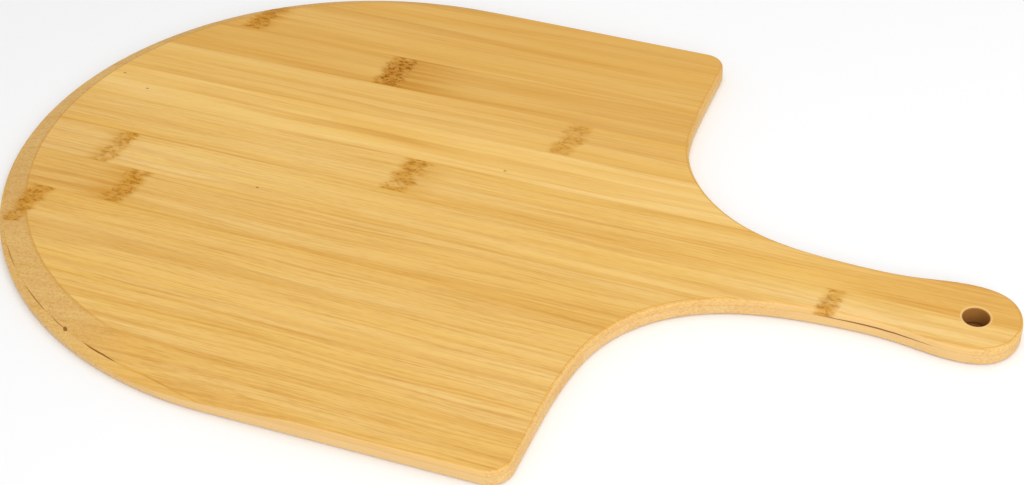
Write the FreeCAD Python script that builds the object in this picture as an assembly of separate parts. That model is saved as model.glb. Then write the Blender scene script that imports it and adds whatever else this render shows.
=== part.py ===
"""A pizza peel: one flat board of two glued plies, each ply laid up from lengthwise bamboo strips.

Millimetres. X runs along the board from the tip of the blade (-X) to the end of the handle (+X), Y runs
across it and Z is up. The origin is on the underside, in the middle of the board's length and width.
"""
import FreeCAD, Part
import math
import os

V = FreeCAD.Vector

# Overall size
LENGTH = 489.0
BLADE_WIDTH = 305.0
THICKNESS = 9.0
LOWER_PLY = 5.4

# Blade: a half-elliptical front, then sides that draw in a little towards the rear corners
FRONT_DEPTH = 173.5
SIDE_TAPER = math.radians(1.15)
REAR_CORNER_X = 70.0
REAR_CORNER_RADIUS = 10.5
REAR_LEAN = math.radians(0.5)

# Rear edge, shoulder and handle: X and half width where the smooth curve passes
SHOULDER_TO_HANDLE_END = [
    (70.4, 110.0),
    (76.0, 67.0),
    (115.0, 26.5),
    (164.5, 16.8),
    (195.5, 17.3),
    (218.5, 20.2),
    (238.0, 15.2),
]

# Edges
TOP_EDGE_RADIUS = 1.5
UNDERSIDE_EDGE_RADIUS = 1.0

# Bevel ground on top around the front, wider on the -Y side than on the +Y side
BEVEL_SLOPE = 0.30
BEVEL_WIDTH = 10.5
BEVEL_WIDTH_CHANGE = 6.4
BEVEL_FADE_STARTS_X = -102.5
BEVEL_FADE_ENDS_X = -4.5
BEVEL_STATIONS = 24
BEVEL_TOOL_INSIDE = 1.5
BEVEL_TOOL_OUTSIDE = 3.0
BEVEL_TOOL_HEIGHT = 12.0

# Hole for hanging the peel
HOLE_X = 225.0
HOLE_RADIUS = 5.7
HOLE_RIM_RADIUS = 0.8

# Strips: twelve to a ply. The lower ply is laid the other way round, so its joints are just off those of the
# upper ply
STRIP_PITCH = 25.2
JOINTS_EACH_SIDE = 5
UPPER_JOINT_Y = -2.5
LOWER_JOINT_Y = -UPPER_JOINT_Y

HALF_WIDTH = BLADE_WIDTH / 2
TIP_X = -LENGTH / 2
HANDLE_END_X = LENGTH / 2
FRONT_CENTRE_X = TIP_X + FRONT_DEPTH
# where the ellipse has come round to the slope of the straight side
FRONT_END_ANGLE = math.atan2(HALF_WIDTH, FRONT_DEPTH * math.tan(SIDE_TAPER))


def front_point(angle):
    """A point on the front ellipse."""
    return V(FRONT_CENTRE_X + FRONT_DEPTH * math.cos(angle), HALF_WIDTH * math.sin(angle), 0)


def mirrored(point):
    """The point on the other side of the board's centre line."""
    return V(point.x, -point.y, point.z)


def rear_corner():
    """Ends and middle of the +Y rear corner's arc, and the direction in which the rear edge leaves it."""
    side = V(math.cos(SIDE_TAPER), -math.sin(SIDE_TAPER), 0)
    rear = V(math.sin(REAR_LEAN), -math.cos(REAR_LEAN), 0)
    front_end = front_point(FRONT_END_ANGLE)
    sharp = front_end + side * ((REAR_CORNER_X - front_end.x) / side.x)
    half_angle = (math.pi - side.getAngle(rear)) / 2
    setback = REAR_CORNER_RADIUS / math.tan(half_angle)
    start = sharp - side * setback
    end = sharp + rear * setback
    inward = (rear - side).normalize()
    middle = sharp + inward * (REAR_CORNER_RADIUS / math.sin(half_angle) - REAR_CORNER_RADIUS)
    return start, middle, end, rear


def outline_face():
    """The board seen from above, as a flat face at Z 0."""
    ellipse = Part.Ellipse(V(FRONT_CENTRE_X, 0, 0), FRONT_DEPTH, HALF_WIDTH)
    front = Part.ArcOfEllipse(ellipse, FRONT_END_ANGLE, 2 * math.pi - FRONT_END_ANGLE)
    start, middle, end, rear = rear_corner()
    half = [end] + [V(x, y, 0) for x, y in SHOULDER_TO_HANDLE_END]
    tail = Part.BSplineCurve()
    tail.interpolate(
        Points=half + [V(HANDLE_END_X, 0, 0)] + [mirrored(p) for p in reversed(half)],
        InitialTangent=rear,
        FinalTangent=V(-rear.x, rear.y, 0),
    )
    front_end = front_point(FRONT_END_ANGLE)
    edges = [
        front.toShape(),
        Part.makeLine(mirrored(front_end), mirrored(start)),
        Part.Arc(mirrored(start), mirrored(middle), mirrored(end)).toShape(),
        tail.toShape(),
        Part.Arc(end, middle, start).toShape(),
        Part.makeLine(start, front_end),
    ]
    return Part.Face(Part.Wire(Part.__sortEdges__(edges)))


def rounded_board():
    """The full-thickness board with its edges rounded over."""
    board = outline_face().extrude(V(0, 0, THICKNESS))
    top = [e for e in board.Edges if e.BoundBox.ZMin > THICKNESS / 2]
    board = board.makeFillet(TOP_EDGE_RADIUS, top)
    underside = [e for e in board.Edges if e.BoundBox.ZMax < UNDERSIDE_EDGE_RADIUS / 2]
    return board.makeFillet(UNDERSIDE_EDGE_RADIUS, underside)


def blade_edge(run):
    """A point on the blade's edge and the direction out of the board there.

    run is 0 at the tip and 1 where the front's curve ends on the +Y side; past 1 it goes on along the
    straight side. Negative runs are on the -Y side.
    """
    around = math.pi - min(abs(run), 1.0) * (math.pi - FRONT_END_ANGLE)
    point = front_point(around)
    out = V(HALF_WIDTH * math.cos(around), FRONT_DEPTH * math.sin(around), 0).normalize()
    beyond = max(abs(run) - 1.0, 0.0) * FRONT_DEPTH
    point += V(math.cos(SIDE_TAPER), -math.sin(SIDE_TAPER), 0) * beyond
    return (point, out) if run >= 0 else (mirrored(point), mirrored(out))


def bevel_width(point):
    """Width of the bevel where it meets the blade's edge at this point."""
    fade = (BEVEL_FADE_ENDS_X - point.x) / (BEVEL_FADE_ENDS_X - BEVEL_FADE_STARTS_X)
    fade = min(max(fade, 0.0), 1.0)
    smooth = fade * fade * (3 - 2 * fade)
    return (BEVEL_WIDTH - BEVEL_WIDTH_CHANGE * point.y / HALF_WIDTH) * smooth


def bevel_tool():
    """What is ground away: everything above a surface that falls outwards at the bevel's slope."""
    front_end = front_point(FRONT_END_ANGLE)
    last_run = 1.0 + (BEVEL_FADE_ENDS_X - front_end.x) / FRONT_DEPTH
    inner, outer = [], []
    for station in range(-BEVEL_STATIONS, BEVEL_STATIONS + 1):
        point, out = blade_edge(last_run * station / BEVEL_STATIONS)
        width = bevel_width(point)
        inside = width + BEVEL_TOOL_INSIDE
        inner.append(point - out * inside + V(0, 0, THICKNESS + BEVEL_TOOL_INSIDE * BEVEL_SLOPE))
        drop = (width + BEVEL_TOOL_OUTSIDE) * BEVEL_SLOPE
        outer.append(point + out * BEVEL_TOOL_OUTSIDE + V(0, 0, THICKNESS - drop))
    rails = []
    for points in (inner, outer):
        rail = Part.BSplineCurve()
        rail.interpolate(Points=points)
        rails.append(rail.toShape())
    surface = Part.makeRuledSurface(rails[0], rails[1])
    return surface.extrude(V(0, 0, BEVEL_TOOL_HEIGHT))


def with_hole(board):
    """The board with its hanging hole bored through the handle and the rims eased."""
    drill = Part.makeCylinder(HOLE_RADIUS, 2 * THICKNESS, V(HOLE_X, 0, -THICKNESS / 2))
    board = board.cut(drill)
    rims = [
        e for e in board.Edges
        if isinstance(e.Curve, Part.Circle) and abs(e.Curve.Radius - HOLE_RADIUS) < 0.01
    ]
    return board.makeFillet(HOLE_RIM_RADIUS, rims)


def strips(board, middle_joint, bottom, top):
    """One ply of the board, cut into its strips from -Y to +Y."""
    joints = [middle_joint + STRIP_PITCH * k for k in range(-JOINTS_EACH_SIDE, JOINTS_EACH_SIDE + 1)]
    sides = [-HALF_WIDTH - 1] + joints + [HALF_WIDTH + 1]
    pieces = []
    for low, high in zip(sides, sides[1:]):
        blank = Part.makeBox(LENGTH + 2, high - low, top - bottom, V(TIP_X - 1, low, bottom))
        pieces.append(board.common(blank).Solids[0])
    return pieces


def export(ply, pieces):
    """One STEP file for each strip of a ply."""
    for number, piece in enumerate(pieces, start=1):
        piece.exportStep(f"parts/{ply}_strip_{number:02d}.step")


os.makedirs("parts", exist_ok=True)
peel = with_hole(rounded_board().cut(bevel_tool()))
export("lower", strips(peel, LOWER_JOINT_Y, 0, LOWER_PLY))
export("upper", strips(peel, UPPER_JOINT_Y, LOWER_PLY, THICKNESS))
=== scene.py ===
"""A bamboo pizza peel: procedural wood on the CAD strips, a pale floor and soft studio light."""

import bpy
from mathutils import Matrix, Vector


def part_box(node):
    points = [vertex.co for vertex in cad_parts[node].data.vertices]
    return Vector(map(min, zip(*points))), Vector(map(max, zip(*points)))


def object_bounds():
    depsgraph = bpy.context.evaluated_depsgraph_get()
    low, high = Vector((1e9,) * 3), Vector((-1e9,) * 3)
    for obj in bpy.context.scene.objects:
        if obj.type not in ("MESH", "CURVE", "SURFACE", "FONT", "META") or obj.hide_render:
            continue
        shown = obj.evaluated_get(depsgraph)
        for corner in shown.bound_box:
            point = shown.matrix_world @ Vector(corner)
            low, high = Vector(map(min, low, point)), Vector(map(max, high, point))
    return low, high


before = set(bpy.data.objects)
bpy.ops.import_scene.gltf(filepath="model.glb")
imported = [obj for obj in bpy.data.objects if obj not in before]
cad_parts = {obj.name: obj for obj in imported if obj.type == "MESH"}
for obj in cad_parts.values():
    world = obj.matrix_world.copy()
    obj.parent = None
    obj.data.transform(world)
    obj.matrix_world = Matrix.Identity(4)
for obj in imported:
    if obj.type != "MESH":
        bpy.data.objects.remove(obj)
cad_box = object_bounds()

# The camera, fitted to the outline of the peel
CAMERA_AT = Vector((0.27225, -0.5603, 0.5275))
CAMERA_LOOKS = Vector((-0.319, 0.6844, -0.6556))
CAMERA_RIGHT = Vector((0.9239, 0.3788, -0.054))
FOCAL_LENGTH = 61.3
SENSOR_WIDTH = 36.0

# The floor, in metres: how far it reaches each way, and how far it lies below the peel
FLOOR_REACH = 4.0
FLOOR_DROP = 0.0003

# The board, in millimetres, as the CAD has it. OUTER_STRIP is a little less than the width of the outermost
# strips, and the last number is how far outside the hole the ring of painted highlight on the rims lies
THICKNESS = 9.0
GLUE_HEIGHT = 5.4
OUTER_STRIP = 23.0
HOLE_X = 225.0
HOLE_RADIUS = 5.7
RIM_HIGHLIGHT_OUT = 0.65

# Colours of the wood, as linear light
DEEP = (0.684, 0.378, 0.073)
LIGHT = (0.826, 0.534, 0.160)
AMBER = (0.56, 0.242, 0.003)
FLECK = (0.28, 0.090, 0.003)
# Painted shade for the wall of the hanging hole
HOLE_SHADE = (0.37, 0.155, 0.025)
DARK_BROWN = (0.12, 0.040, 0.007)
# Painted shade inside the open gaps in the glue
GAP_SHADE = (0.27, 0.100, 0.010)
BEVEL = (0.71, 0.460, 0.175)
UPPER_WALL = (0.79, 0.515, 0.205)
LOWER_WALL = (0.78, 0.535, 0.255)
# Painted brown shadow and bounced light on the floor seen through the hanging hole
HOLE_SHADOW_ON_FLOOR = (0.30, 0.115, 0.020)

# Size of each pattern in the wood along, across and through the board, in millimetres
SWAY_SIZE = (110.0, 30.0, 30.0)
BAND_SIZE = (260.0, 6.0, 18.0)
STREAK_SIZE = (170.0, 2.4, 9.0)
LINE_SIZE = (46.0, 1.0, 1.3)
FIBRE_SIZE = (7.0, 0.9, 0.9)
BLOTCH_SIZE = (150.0, 9.0, 9.0)
PORE_SIZE = (1.7, 1.15, 1.0)
ROUGH_SIZE = (1.5, 1.0, 1.0)
PATCH_SIZE = (11.0, 4.5, 4.5)
FLECK_SIZE = (2.9, 1.7, 1.6)
TAIL_SIZE = (90.0, 2.4, 2.4)

# How far the grain sways to the side, and how far a knuckle leans over for each millimetre across the strip
SWAY = 5.0
KNUCKLE_SLANT = 0.12

# Tints that the plain wood's colour is multiplied by
PALE = (1.02, 1.06, 1.25)
ORANGE = (0.97, 0.92, 0.77)
YELLOW = (1.02, 1.05, 0.84)
HONEY = (0.88, 0.775, 0.57)
STREAK = (0.74, 0.62, 0.38)

# What tints the plain wood: a pattern, where its tint starts and where it is full, how strong it is, the tint
LAYERS = [
    ("blotch", 0.50, 0.72, 1.00, PALE),
    ("blotch", 0.50, 0.28, 1.00, ORANGE),
    ("bands", 0.44, 0.70, 0.60, HONEY),
    ("streaks", 0.52, 0.72, 0.70, HONEY),
    ("streaks", 0.42, 0.26, 0.70, YELLOW),
]

# How strongly each mark shows over the wood
BEVEL_SHARE = 0.60
ROUNDED_SHARE = 0.45
PORE_SHARE = 0.52
STAIN_SHARE = 0.85
FLECK_SHARE = 0.52
DEEP_STAIN_SHARE = 0.6
SPECK_SHARE = 0.6
JOINT_SHARE = 0.42
# How dark the painted shade line along the bevel's crest is
CREST_SHADE_SHARE = 0.42
GLUE_SHARE = 0.36
# How strong the painted highlight ring around the hanging hole is
RIM_HIGHLIGHT_SHARE = 0.65
# How strong the painted shade on the wall of the hanging hole is
HOLE_SHADE_SHARE = 0.92

# Depth of the relief that the bump stands for, in metres
RELIEF = 0.00008

# Upper strips from -Y to +Y. tone runs from 0, deep, to 1, light. grain is how strongly the fine lines show.
# A knuckle is where it starts and ends along X, how dark it is and how far its streaks run on. A speck is
# X, Y and size. A shade is a tint, where it starts and where it is strongest along X, and how strong it is.
UPPER_STRIPS = [
    {"tone": 0.50, "grain": 0.54},
    {"tone": 0.62, "grain": 0.54, "shades": [(PALE, -20.0, 60.0, 0.8)]},
    {"tone": 0.64, "grain": 0.50, "shades": [(PALE, -20.0, 60.0, 1.0)]},
    {
        "tone": 0.57,
        "grain": 0.48,
        "knuckles": [(-218.0, -205.0, 1.05, -12.0)],
        "shades": [(HONEY, -190.0, -230.0, 0.5)],
    },
    {
        "tone": 0.54,
        "grain": 0.44,
        "knuckles": [(-179.0, -165.5, 1.0, -24.0)],
        "specks": [(-3.4, -63.1, 0.55), (-111.8, -58.2, 0.5)],
        "shades": [(HONEY, -145.0, -185.0, 0.4)],
    },
    {
        "tone": 0.68,
        "grain": 0.42,
        "knuckles": [(-199.0, -187.5, 0.95, -14.0), (159.5, 169.0, 0.90, 0)],
        "specks": [(-110.6, -21.1, 0.5)],
        "shades": [(HONEY, -150.0, -225.0, 0.4), (PALE, 90.0, 170.0, 1.0), (PALE, -50.0, -140.0, 0.7)],
    },
    {
        "tone": 0.66,
        "grain": 0.38,
        "knuckles": [(-54.0, -39.0, 0.95, 22.0)],
        "shades": [(HONEY, 140.0, 215.0, 0.8), (HONEY, -190.0, -240.0, 0.3)],
    },
    {
        "tone": 0.90,
        "grain": 0.26,
        "specks": [(-2.9, 27.9, 0.5), (-222.9, 40.7, 0.5), (-204.2, 32.3, 0.5)],
    },
    {"tone": 0.54, "grain": 0.24, "knuckles": [(12.0, 25.0, 0.68, 0)]},
    {
        "tone": 0.16,
        "grain": 0.20,
        "knuckles": [(-94.5, -79.0, 1.9, 52.0)],
        "shades": [(PALE, -20.0, 50.0, 0.8)],
    },
    {"tone": 0.21, "grain": 0.18, "knuckles": [(-183.0, -170.0, 1.2, 14.0)]},
    {"tone": 0.12, "grain": 0.16},
]

# Lower strips: how strongly the fine lines show, and the length, darkness and streaks of a knuckle
LOWER_GRAIN = 0.35
LOWER_KNUCKLE = (15.0, 0.9, 12.0)

# Lower strips from -Y to +Y: their tone and where a knuckle starts along X
LOWER_STRIPS = [
    (0.5, None), (0.7, -20.0), (0.3, -54.0), (0.8, -120.0), (0.6, -40.0), (0.45, -163.0),
    (0.75, 60.0), (0.35, -149.0), (0.9, -12.0), (0.55, -105.0), (0.65, 2.0), (0.4, None),
]

# Open gaps in the glue on the -Y side, painted dark as shade: where each starts and ends along X, its height
# and how dark it is
GLUE_GAPS = [
    (-206.0, -192.0, 0.11, 0.50),
    (-181.0, -162.0, 0.09, 0.70),
    (-158.0, -146.5, 0.08, 0.60),
    (-148.5, -145.5, 0.30, 1.00),
    (-135.0, -114.0, 0.12, 1.00),
    (-100.0, -82.0, 0.06, 0.35),
    (161.0, 212.0, 0.46, 1.00),
]


class Nodes:
    """Short names for building one material's node tree."""

    def __init__(self, material):
        material.use_nodes = True
        self.tree = material.node_tree
        self.tree.nodes.clear()

    def add(self, kind, **settings):
        node = self.tree.nodes.new(kind)
        for name, value in settings.items():
            setattr(node, name, value)
        return node

    def plug(self, socket, value):
        if isinstance(value, bpy.types.NodeSocket):
            self.tree.links.new(value, socket)
        elif isinstance(value, tuple) and len(value) == 3 and socket.type == "RGBA":
            socket.default_value = (*value, 1)
        else:
            socket.default_value = value

    def math(self, operation, *values, clamp=False):
        node = self.add("ShaderNodeMath", operation=operation, use_clamp=clamp)
        for socket, value in zip(node.inputs, values):
            self.plug(socket, value)
        return node.outputs[0]

    def step(self, value, low, high):
        """0 below low and 1 above high, smooth between."""
        node = self.add("ShaderNodeMapRange", interpolation_type="SMOOTHSTEP")
        for name, number in (("Value", value), ("From Min", low), ("From Max", high)):
            self.plug(node.inputs[name], number)
        return node.outputs[0]

    def mix(self, share, first, second, blend="MIX"):
        node = self.add("ShaderNodeMix", data_type="RGBA", blend_type=blend)
        self.plug(node.inputs[0], share)
        self.plug(node.inputs[6], first)
        self.plug(node.inputs[7], second)
        return node.outputs[2]

    def point(self, x, y, z):
        node = self.add("ShaderNodeCombineXYZ")
        for socket, value in zip(node.inputs, (x, y, z)):
            self.plug(socket, value)
        return node.outputs[0]

    def noise(self, vector, scale=1.0, detail=2.0, roughness=0.5, distortion=0.0):
        node = self.add("ShaderNodeTexNoise")
        self.plug(node.inputs["Vector"], vector)
        node.inputs["Scale"].default_value = scale
        node.inputs["Detail"].default_value = detail
        node.inputs["Roughness"].default_value = roughness
        node.inputs["Distortion"].default_value = distortion
        return node.outputs["Fac"]

    def cells(self, vector):
        """Distance from the nearest of many scattered points."""
        node = self.add("ShaderNodeTexVoronoi", feature="F1")
        self.plug(node.inputs["Vector"], vector)
        node.inputs["Scale"].default_value = 1.0
        return node.outputs["Distance"]


def stretched(n, place, size, seed):
    """The place in the wood, squeezed so that a pattern of size 1 comes out at this size in millimetres.

    Patterns with different seeds come from different parts of the noise.
    """
    x, y, z = place
    along, across, through = size
    return n.point(
        n.math("DIVIDE", x, along),
        n.math("ADD", n.math("DIVIDE", y, across), seed),
        n.math("ADD", n.math("DIVIDE", z, through), seed * 0.37),
    )


def wood_place(n):
    """X, Y and Z of a point in the board, in millimetres."""
    metres = n.add("ShaderNodeTexCoord").outputs["Object"]
    scaled = n.add("ShaderNodeVectorMath", operation="SCALE")
    n.plug(scaled.inputs[0], metres)
    scaled.inputs["Scale"].default_value = 1000.0
    parts = n.add("ShaderNodeSeparateXYZ")
    n.plug(parts.inputs[0], scaled.outputs[0])
    return tuple(parts.outputs)


def facing(n):
    """Where the surface cuts the grain, is the ground bevel, a side wall or a rounded edge, each 0 to 1.

    It goes by the surface's direction: level is 1 on the flat faces, about 0.96 on the bevel and 0 on a wall.
    """
    normal = n.add("ShaderNodeNewGeometry").outputs["Normal"]
    parts = n.add("ShaderNodeSeparateXYZ")
    n.plug(parts.inputs[0], normal)
    endwise = n.math("ABSOLUTE", parts.outputs[0])
    level = n.math("ABSOLUTE", parts.outputs[2])
    across_grain = n.step(endwise, 0.02, 0.30)
    bevel = near(n, level, 0.958, 0.016, 0.014)
    bevel = n.math("MULTIPLY", bevel, n.step(endwise, 0.04, 0.13))
    wall = n.math("SUBTRACT", 1.0, n.step(level, 0.50, 0.88))
    rounded = near(n, level, 0.78, 0.12, 0.10)
    return across_grain, bevel, wall, rounded


def near(n, value, centre, reach, soft):
    """1 within reach of centre, falling to 0 over the soft distance beyond it."""
    away = n.math("ABSOLUTE", n.math("SUBTRACT", value, centre))
    return n.math("SUBTRACT", 1.0, n.step(away, reach, reach + soft))


def grain(n, place, seed):
    """Broad bands, streaks, fine lines and short fibres, each from 0 to 1, all running along X."""
    x, y, z = place
    sway = n.noise(stretched(n, place, SWAY_SIZE, seed + 12), detail=1.0)
    flow = (x, n.math("ADD", y, n.math("MULTIPLY", sway, SWAY)), z)
    bands = n.noise(stretched(n, flow, BAND_SIZE, seed))
    streaks = n.noise(stretched(n, flow, STREAK_SIZE, seed + 6))
    lines = n.noise(stretched(n, flow, LINE_SIZE, seed + 9), detail=3.0, roughness=0.6)
    distance = n.cells(stretched(n, flow, FIBRE_SIZE, seed + 4))
    fibres = n.math("SUBTRACT", 1.0, n.step(distance, 0.14, 0.50))
    return bands, streaks, lines, fibres


def pores(n, place, seed):
    """The fine dots of cut fibres on end grain."""
    distance = n.cells(stretched(n, place, PORE_SIZE, seed + 8))
    dots = n.math("SUBTRACT", 1.0, n.step(distance, 0.20, 0.55))
    rough = n.noise(stretched(n, place, ROUGH_SIZE, seed + 1), roughness=0.6)
    return n.math("MULTIPLY", n.math("ADD", dots, 0.5), n.step(rough, 0.36, 0.60), clamp=True)


def knuckle(n, place, middle, seed, start, end, tail):
    """Where one node of the culm crosses a strip: a broad stain and dark flecks, each from 0 to 1.

    middle is Y half way across the strip. tail is how far dark streaks run on past the node, in millimetres:
    to +X if positive, to -X if negative.
    """
    x, y, z = place
    half = (end - start) / 2
    ragged = n.noise(n.point(seed, n.math("DIVIDE", y, 3.6), n.math("DIVIDE", z, 5.0)), detail=3.0)
    shift = n.math("MULTIPLY", n.math("SUBTRACT", ragged, 0.5), 1.5 * half)
    slant = n.math("MULTIPLY", n.math("SUBTRACT", y, middle), KNUCKLE_SLANT)
    moved = n.math("SUBTRACT", n.math("ADD", x, shift), slant)
    band = near(n, moved, (start + end) / 2, 0.40 * half, 0.85 * half)
    patchy = n.noise(stretched(n, place, PATCH_SIZE, seed + 2))
    stain = n.math("MULTIPLY", band, n.step(patchy, 0.15, 0.62))
    specks = n.noise(stretched(n, place, FLECK_SIZE, seed), detail=3.0, roughness=0.6, distortion=0.6)
    flecks = n.math("MULTIPLY", n.step(specks, 0.44, 0.66), n.math("MULTIPLY", band, patchy))
    flecks = n.math("MULTIPLY", flecks, 2.3, clamp=True)
    if tail:
        streaks = knuckle_tail(n, place, seed, moved, (start + end) / 2, half, tail)
        stain = n.math("MAXIMUM", stain, streaks)
    return stain, flecks


def knuckle_tail(n, place, seed, moved, centre, half, tail):
    """The dark streaks that run on past a knuckle and fade, from 0 to 1.

    moved is X, shifted by the knuckle's slant and its ragged edge.
    """
    toward = 1 if tail > 0 else -1
    past = n.math("MULTIPLY", n.math("SUBTRACT", moved, centre), toward)
    fade = n.math("SUBTRACT", 1.0, n.step(past, 0.3 * half, abs(tail)))
    after = n.math("MULTIPLY", fade, n.step(past, -0.2 * half, 0.6 * half))
    lines = n.noise(stretched(n, place, TAIL_SIZE, seed + 3))
    lines = n.math("ADD", 0.30, n.math("MULTIPLY", n.step(lines, 0.38, 0.62), 0.5))
    return n.math("MULTIPLY", after, lines)


def speck(n, place, at_x, at_y, size):
    """A small dark fleck of bark."""
    x, y, _ = place
    along = n.math("DIVIDE", n.math("SUBTRACT", x, at_x), size * 1.6)
    across = n.math("DIVIDE", n.math("SUBTRACT", y, at_y), size)
    away = n.math("ADD", n.math("MULTIPLY", along, along), n.math("MULTIPLY", across, across))
    return n.math("SUBTRACT", 1.0, n.step(away, 0.4, 1.6))


def joint_lines(n, place, sides, seed):
    """The thin brown glue lines where the strip meets its neighbours, broken up along the board."""
    x, y, _ = place
    drawn = 0.0
    for side in sides:
        line = n.math("MULTIPLY", near(n, y, side, 0.10, 0.40), 0.55)
        shade = n.math("MULTIPLY", near(n, y, side, 0.2, 1.3), 0.45)
        drawn = n.math("MAXIMUM", drawn, n.math("ADD", line, shade))
    broken = n.noise(n.point(n.math("DIVIDE", x, 60.0), seed, 0.0), detail=2.0)
    return n.math("MULTIPLY", drawn, n.step(broken, 0.25, 0.65))


def shaded_gap(n, place, start, end, height, depth):
    """Painted shade of an open gap in the glue between the plies, on the -Y side only, tapering to both ends.
    """
    x, y, z = place
    wander = n.noise(n.point(n.math("DIVIDE", x, 7.0), 0.0, 0.0), detail=2.0)
    middle = n.math("ADD", GLUE_HEIGHT, n.math("MULTIPLY", n.math("SUBTRACT", wander, 0.5), 0.25))
    along = n.math("DIVIDE", n.math("SUBTRACT", x, (start + end) / 2), (end - start) / 2)
    taper = n.math("SUBTRACT", 1.0, n.math("MULTIPLY", along, along), clamp=True)
    away = n.math("ABSOLUTE", n.math("SUBTRACT", z, middle))
    away = n.math("DIVIDE", away, n.math("ADD", n.math("MULTIPLY", taper, height), 0.001))
    open_gap = n.math("SUBTRACT", 1.0, n.step(away, 0.6, 1.25))
    shown = n.math("MULTIPLY", n.step(taper, 0.0, 0.25), depth)
    this_side = n.step(n.math("MULTIPLY", y, -1.0), 4.0, 6.0)
    return n.math("MULTIPLY", n.math("MULTIPLY", open_gap, shown), this_side)


def largest(n, values):
    """The largest of the values, and at least 0."""
    found = 0.0
    for value in values:
        found = n.math("MAXIMUM", found, value)
    return found


def tint(n, share, colour, by):
    """Colour multiplied by a tint, as far as the share says."""
    return n.mix(share, colour, by, blend="MULTIPLY")


def wood_colour(n, place, strip, surface):
    """Colour of the plain wood before any marks, how deep its grooves are, and its broad blotches."""
    across_grain, bevel, wall, rounded = surface
    seed = strip["seed"]
    bands, streaks, lines, fibres = grain(n, place, seed)
    blotch = n.noise(stretched(n, place, BLOTCH_SIZE, seed + 2))
    patterns = {"blotch": blotch, "bands": bands, "streaks": streaks}
    colour = n.mix(strip["tone"], DEEP, LIGHT)
    for pattern, start, full, share, by in LAYERS:
        colour = tint(n, n.math("MULTIPLY", n.step(patterns[pattern], start, full), share), colour, by)
    colour = tint(n, n.math("MULTIPLY", n.step(lines, 0.42, 0.68), strip["grain"]), colour, STREAK)
    colour = tint(n, n.math("MULTIPLY", fibres, 0.45 * strip["grain"]), colour, STREAK)
    for shade, start, strongest, share in strip["shades"]:
        colour = tint(n, n.math("MULTIPLY", n.step(place[0], start, strongest), share), colour, shade)
    colour = n.mix(n.math("MULTIPLY", bevel, BEVEL_SHARE), colour, BEVEL)
    colour = n.mix(n.math("MULTIPLY", wall, 0.45 + 0.5 * strip["tone"]), colour, strip["wall"])
    colour = tint(n, n.math("MULTIPLY", rounded, ROUNDED_SHARE), colour, HONEY)
    cut = n.math("MAXIMUM", bevel, n.math("MULTIPLY", wall, across_grain))
    cut = n.math("MULTIPLY", pores(n, place, seed), cut)
    colour = tint(n, n.math("MULTIPLY", cut, PORE_SHARE), colour, STREAK)
    grooves = n.math("ADD", n.math("MULTIPLY", lines, 0.8), n.math("MULTIPLY", fibres, 0.3))
    return colour, n.math("ADD", grooves, n.math("MULTIPLY", cut, 0.6)), blotch


def hole_distance(n, place):
    """Distance from the axis of the hanging hole, in millimetres."""
    x, y, _ = place
    out_x = n.math("SUBTRACT", x, HOLE_X)
    squared = n.math("ADD", n.math("MULTIPLY", out_x, out_x), n.math("MULTIPLY", y, y))
    return n.math("SQRT", squared)


def hole_shade_and_highlight(n, place, wall):
    """Painted shade on the wall of the hanging hole, and a ring of painted highlight on its rims, each from 0
    to 1.
    """
    away = hole_distance(n, place)
    # Painted shade: the wall of the hanging hole is darkened
    hole_shade = n.math("MULTIPLY", near(n, away, 0.0, HOLE_RADIUS + 0.2, 0.6), wall)
    # Painted highlight: a pale ring on the flat faces around the hole
    rim_highlight = near(n, away, HOLE_RADIUS + RIM_HIGHLIGHT_OUT, 0.25, 0.35)
    return hole_shade, n.math("MULTIPLY", rim_highlight, n.math("SUBTRACT", 1.0, wall))


def with_knuckles(n, place, strip, colour):
    """The colour with the strip's knuckles on it, and where their flecks are."""
    stains, flecks, deepest = [], [], []
    for number, (start, end, depth, tail) in enumerate(strip["knuckles"]):
        seed = strip["seed"] + 5 * number + 1
        stain, fleck = knuckle(n, place, strip["middle"], seed, start, end, tail)
        stains.append(n.math("MULTIPLY", stain, min(STAIN_SHARE * depth, 1.0)))
        flecks.append(n.math("MULTIPLY", fleck, min(FLECK_SHARE * depth, 0.95)))
        deepest.append(n.math("MULTIPLY", stain, DEEP_STAIN_SHARE * max(depth - 1.0, 0.0)))
    flecked = largest(n, flecks)
    colour = n.mix(largest(n, stains), colour, AMBER)
    colour = tint(n, largest(n, deepest), colour, STREAK)
    return n.mix(flecked, colour, FLECK), flecked


def with_joints(n, place, strip, surface, colour):
    """The colour with the glue lines between strips and a painted shade line along the bevel's crest, and
    where the lines are.

    The glue lines are fainter on the walls.
    """
    _, bevel, wall, _ = surface
    z = place[2]
    joints = joint_lines(n, place, strip["sides"], strip["seed"])
    joints = n.math("MULTIPLY", joints, n.math("SUBTRACT", 1.0, n.math("MULTIPLY", wall, 0.8)))
    colour = n.mix(n.math("MULTIPLY", joints, JOINT_SHARE), colour, AMBER)
    # Painted shade: a dark line where the bevel meets the top
    crest_shade = n.math("MULTIPLY", bevel, n.step(z, THICKNESS - 0.55, THICKNESS - 0.10))
    return n.mix(n.math("MULTIPLY", crest_shade, CREST_SHADE_SHARE), colour, AMBER), joints


def with_glue(n, place, bevel, colour):
    """The colour with the glue line between the plies and painted shade in the open gaps in it, and where the
    gaps are.
    """
    from_glue = n.math("ABSOLUTE", n.math("SUBTRACT", place[2], GLUE_HEIGHT))
    from_glue = n.math("MULTIPLY", from_glue, n.math("ADD", 1.0, n.math("MULTIPLY", bevel, 2.5)))
    glue = n.math("SUBTRACT", 1.0, n.step(from_glue, 0.06, 0.26))
    colour = n.mix(n.math("MULTIPLY", glue, GLUE_SHARE), colour, AMBER)
    shaded_gaps = largest(n, [shaded_gap(n, place, *gap) for gap in GLUE_GAPS])
    # Painted shade fills the open glue gaps
    return n.mix(shaded_gaps, colour, GAP_SHADE), shaded_gaps


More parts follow.
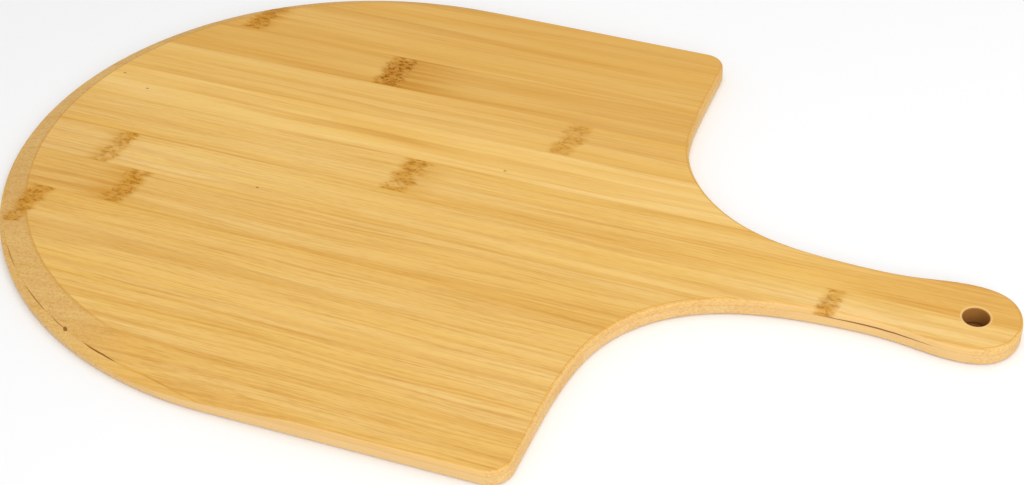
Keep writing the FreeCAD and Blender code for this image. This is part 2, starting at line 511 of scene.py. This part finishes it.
def bamboo(name, strip):
    """Oiled bamboo for one strip: its own tone, grain, knuckles, specks, glue lines and end grain."""
    material = bpy.data.materials.new(name)
    n = Nodes(material)
    place = wood_place(n)
    surface = facing(n)
    _, bevel, wall, _ = surface
    colour, grooves, blotch = wood_colour(n, place, strip, surface)
    colour, flecked = with_knuckles(n, place, strip, colour)
    spots = largest(n, [speck(n, place, *spot) for spot in strip["specks"]])
    colour = n.mix(n.math("MULTIPLY", spots, SPECK_SHARE), colour, DARK_BROWN)
    colour, joints = with_joints(n, place, strip, surface, colour)
    colour, shaded_gaps = with_glue(n, place, bevel, colour)
    hole_shade, rim_highlight = hole_shade_and_highlight(n, place, wall)
    # Painted highlight around the rims of the hanging hole, in the pale wall colour
    colour = n.mix(n.math("MULTIPLY", rim_highlight, RIM_HIGHLIGHT_SHARE), colour, UPPER_WALL)
    # Painted shade darkens the wall of the hanging hole
    colour = n.mix(n.math("MULTIPLY", hole_shade, HOLE_SHADE_SHARE), colour, HOLE_SHADE)

    shader = n.add("ShaderNodeBsdfPrincipled")
    n.plug(shader.inputs["Base Color"], colour)
    rough = n.math("ADD", 0.44, n.math("MULTIPLY", grooves, 0.12))
    rough = n.math("ADD", rough, n.math("MULTIPLY", n.math("MAXIMUM", wall, bevel), 0.14))
    rough = n.math("ADD", rough, n.math("MULTIPLY", blotch, 0.06))
    n.plug(shader.inputs["Roughness"], rough)
    n.plug(shader.inputs["Specular IOR Level"], n.math("MULTIPLY_ADD", flecked, -0.25, 0.30))
    dents = n.math("MULTIPLY", grooves, -0.6)
    dents = n.math("SUBTRACT", dents, n.math("MULTIPLY", flecked, 0.25))
    dents = n.math("SUBTRACT", dents, n.math("ADD", shaded_gaps, n.math("MULTIPLY", joints, 0.5)))
    bump = n.add("ShaderNodeBump")
    bump.inputs["Strength"].default_value = 0.8
    bump.inputs["Distance"].default_value = RELIEF
    n.plug(bump.inputs["Height"], dents)
    n.plug(shader.inputs["Normal"], bump.outputs[0])
    output = n.add("ShaderNodeOutputMaterial")
    n.plug(output.inputs["Surface"], shader.outputs[0])
    return material


def strip_sides(node):
    """Y of the middle of the strip and of its joints with its neighbours.

    The board's outermost sides have no joint.
    """
    low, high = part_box(node)
    sides = [1000 * low.y, 1000 * high.y]
    edge = 1000 * cad_box[1].y - OUTER_STRIP
    return sum(sides) / 2, [y for y in sides if abs(y) < edge]


def paint_strips():
    """Gives every CAD strip its own bamboo."""
    for number in range(1, 13):
        upper = dict({"knuckles": [], "specks": [], "shades": []}, **UPPER_STRIPS[number - 1])
        tone, start = LOWER_STRIPS[number - 1]
        length, depth, tail = LOWER_KNUCKLE
        knuckles = [] if start is None else [(start, start + length, depth, tail)]
        lower = {"tone": tone, "grain": LOWER_GRAIN, "knuckles": knuckles, "specks": [], "shades": []}
        for ply, strip in (("upper", upper), ("lower", lower)):
            node = f"{ply}_strip_{number:02d}"
            strip["seed"] = 7.3 * number + (0 if ply == "upper" else 101.0)
            strip["middle"], strip["sides"] = strip_sides(node)
            strip["wall"] = UPPER_WALL if ply == "upper" else LOWER_WALL
            material = bamboo(f"bamboo_{node}", strip)
            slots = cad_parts[node].data.materials
            slots.clear()
            slots.append(material)


def floor_surface():
    """Matt white, slightly uneven, and painted with a brown shadow and bounced light where it shows through
    the hanging hole.
    """
    material = bpy.data.materials.new("pale_floor")
    n = Nodes(material)
    place = wood_place(n)
    cloud = n.noise(n.point(*place), scale=0.003, detail=2.0)
    colour = n.mix(cloud, (0.90, 0.90, 0.90), (0.87, 0.87, 0.87))
    # Painted shadow: the floor turns brown under the hanging hole
    colour = n.mix(near(n, hole_distance(n, place), 0.0, HOLE_RADIUS, 4.0), colour, HOLE_SHADOW_ON_FLOOR)
    shader = n.add("ShaderNodeBsdfPrincipled")
    n.plug(shader.inputs["Base Color"], colour)
    shader.inputs["Roughness"].default_value = 0.8
    output = n.add("ShaderNodeOutputMaterial")
    n.plug(output.inputs["Surface"], shader.outputs[0])
    return material


def make_floor():
    """The pale floor that the peel lies on."""
    mesh = bpy.data.meshes.new("floor")
    reach = FLOOR_REACH
    corners = [(-reach, -reach, 0), (reach, -reach, 0), (reach, reach, 0), (-reach, reach, 0)]
    mesh.from_pydata(corners, [], [(0, 1, 2, 3)])
    floor = bpy.data.objects.new("floor", mesh)
    floor.location.z = -FLOOR_DROP
    bpy.context.scene.collection.objects.link(floor)
    mesh.materials.append(floor_surface())


def aim(thing, target):
    """Turns a light so that it points at the target."""
    thing.rotation_euler = (Vector(target) - thing.location).to_track_quat("-Z", "Y").to_euler()


def soft_light(name, at, size, power):
    """A square soft box pointing at the middle of the peel."""
    light = bpy.data.lights.new(name, "AREA")
    light.shape = "SQUARE"
    light.size = size
    light.energy = power
    thing = bpy.data.objects.new(name, light)
    thing.location = at
    aim(thing, (0, 0, 0))
    bpy.context.scene.collection.objects.link(thing)


def light_scene():
    """Even studio light: a bright surround, a big overhead soft box and a stronger one from the front."""
    world = bpy.data.worlds.new("surround")
    bpy.context.scene.world = world
    world.use_nodes = True
    surround = world.node_tree.nodes["Background"]
    surround.inputs["Color"].default_value = (1.0, 1.0, 1.0, 1.0)
    surround.inputs["Strength"].default_value = 0.70
    soft_light("overhead", (0.3, 0.1, 1.3), 1.2, 5.0)
    soft_light("front", (0.75, -0.95, 0.80), 0.9, 9.0)
    bpy.context.scene.view_settings.view_transform = "Standard"


def make_camera():
    """The camera, at the fitted place and direction."""
    data = bpy.data.cameras.new("camera")
    data.sensor_width = SENSOR_WIDTH
    data.lens = FOCAL_LENGTH
    data.clip_start = 0.01
    data.clip_end = 50.0
    camera = bpy.data.objects.new("camera", data)
    back = -CAMERA_LOOKS.normalized()
    right = (CAMERA_RIGHT - CAMERA_RIGHT.dot(back) * back).normalized()
    up = back.cross(right)
    turned = Matrix((right, up, back)).transposed()
    camera.matrix_world = Matrix.Translation(CAMERA_AT) @ turned.to_4x4()
    bpy.context.scene.collection.objects.link(camera)
    bpy.context.scene.camera = camera


paint_strips()
make_floor()
light_scene()
make_camera()
